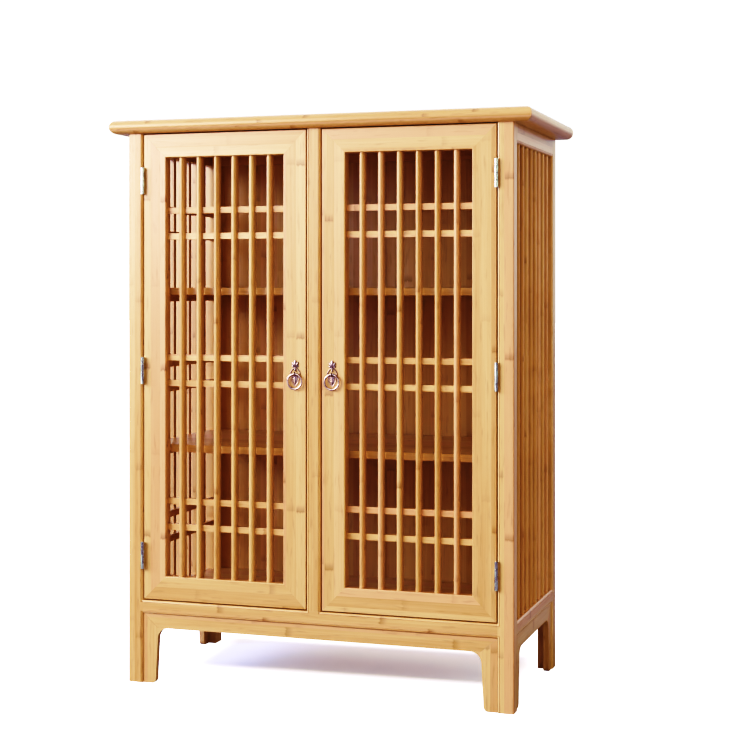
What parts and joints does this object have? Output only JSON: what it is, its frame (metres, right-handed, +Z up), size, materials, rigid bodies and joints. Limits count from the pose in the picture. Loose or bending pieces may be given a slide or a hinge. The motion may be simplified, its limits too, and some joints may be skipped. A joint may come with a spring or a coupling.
{
  "type": "book cabinet",
  "caption": "Tall bamboo book cabinet on short bracketed legs, with framed lattice doors, open lattice sides, inner shelves and bronze ring pulls.",
  "frame": {"origin": "on the floor, under the middle of the whole outline", "axes": "+X to the cabinet's right as seen from the front, +Y to the back, +Z up"},
  "size_m": [0.875, 0.41, 1.14],
  "materials": {
    "bamboo_frame": "satin lacquer",
    "bamboo_lattice": "satin lacquer",
    "bamboo_board": "satin lacquer",
    "hinge_steel": "satin",
    "pull_bronze": "antique bronze",
    "catch_plastic": "matte"
  },
  "bodies": {
    "carcass": {"apron_front": "bamboo_frame", "apron_left": "bamboo_frame", "apron_right": "bamboo_frame", "back_bottom_rail": "bamboo_frame", "back_centre_stile": "bamboo_frame", "back_panel_left": "bamboo_board", "back_panel_right": "bamboo_board", "back_top_rail": "bamboo_frame", "bottom_board": "bamboo_board", "bracket_front_left": "bamboo_frame", "bracket_front_right": "bamboo_frame", "bracket_left_front": "bamboo_frame", "bracket_left_rear": "bamboo_frame", "bracket_right_front": "bamboo_frame", "bracket_right_rear": "bamboo_frame", "centre_post": "bamboo_frame", "front_bottom_rail": "bamboo_frame", "front_top_rail": "bamboo_frame", "hinge_frame_leaves": "hinge_steel", "hinge_pins": "hinge_steel", "left_bottom_rail": "bamboo_frame", "left_side_rods": "bamboo_lattice", "left_top_rail": "bamboo_frame", "lower_shelf": "bamboo_board", "magnetic_catches": "catch_plastic", "post_front_left": "bamboo_frame", "post_front_right": "bamboo_frame", "post_rear_left": "bamboo_frame", "post_rear_right": "bamboo_frame", "right_bottom_rail": "bamboo_frame", "right_side_rods": "bamboo_lattice", "right_top_rail": "bamboo_frame", "shelf_bearers": "bamboo_board", "side_crossbars": "bamboo_lattice", "top_frame_back": "bamboo_frame", "top_frame_front": "bamboo_frame", "top_frame_left": "bamboo_frame", "top_frame_right": "bamboo_frame", "top_panel": "bamboo_board", "upper_shelf": "bamboo_board"},
    "left_door": {"left_door_bottom_rail": "bamboo_frame", "left_door_crossbars": "bamboo_lattice", "left_door_hinge_leaves": "hinge_steel", "left_door_hinge_stile": "bamboo_frame", "left_door_meeting_stile": "bamboo_frame", "left_door_rods": "bamboo_lattice", "left_door_strike_plate": "hinge_steel", "left_door_top_rail": "bamboo_frame", "left_pull_plate": "pull_bronze"},
    "right_door": {"right_door_bottom_rail": "bamboo_frame", "right_door_crossbars": "bamboo_lattice", "right_door_hinge_leaves": "hinge_steel", "right_door_hinge_stile": "bamboo_frame", "right_door_meeting_stile": "bamboo_frame", "right_door_rods": "bamboo_lattice", "right_door_strike_plate": "hinge_steel", "right_door_top_rail": "bamboo_frame", "right_pull_plate": "pull_bronze"},
    "left_ring": {"left_pull_ring": "pull_bronze"},
    "right_ring": {"right_pull_ring": "pull_bronze"}
  },
  "joints": [
    {"name": "left_door_hinge", "type": "hinge", "parent": "carcass", "child": "left_door", "pos_m": [-0.36725, -0.1929, 0.64], "axis": [0, 0, -1], "range_deg": [0, 180]},
    {"name": "left_ring_swing", "type": "hinge", "parent": "left_door", "child": "left_ring", "pos_m": [-0.0385, -0.19255, 0.631], "axis": [-1, 0, 0], "range_deg": [0, 150]},
    {"name": "right_door_hinge", "type": "hinge", "parent": "carcass", "child": "right_door", "pos_m": [0.36725, -0.1929, 0.64], "axis": [0, 0, 1], "range_deg": [0, 180]},
    {"name": "right_ring_swing", "type": "hinge", "parent": "right_door", "child": "right_ring", "pos_m": [0.0385, -0.19255, 0.631], "axis": [-1, 0, 0], "range_deg": [0, 150]}
  ]
}
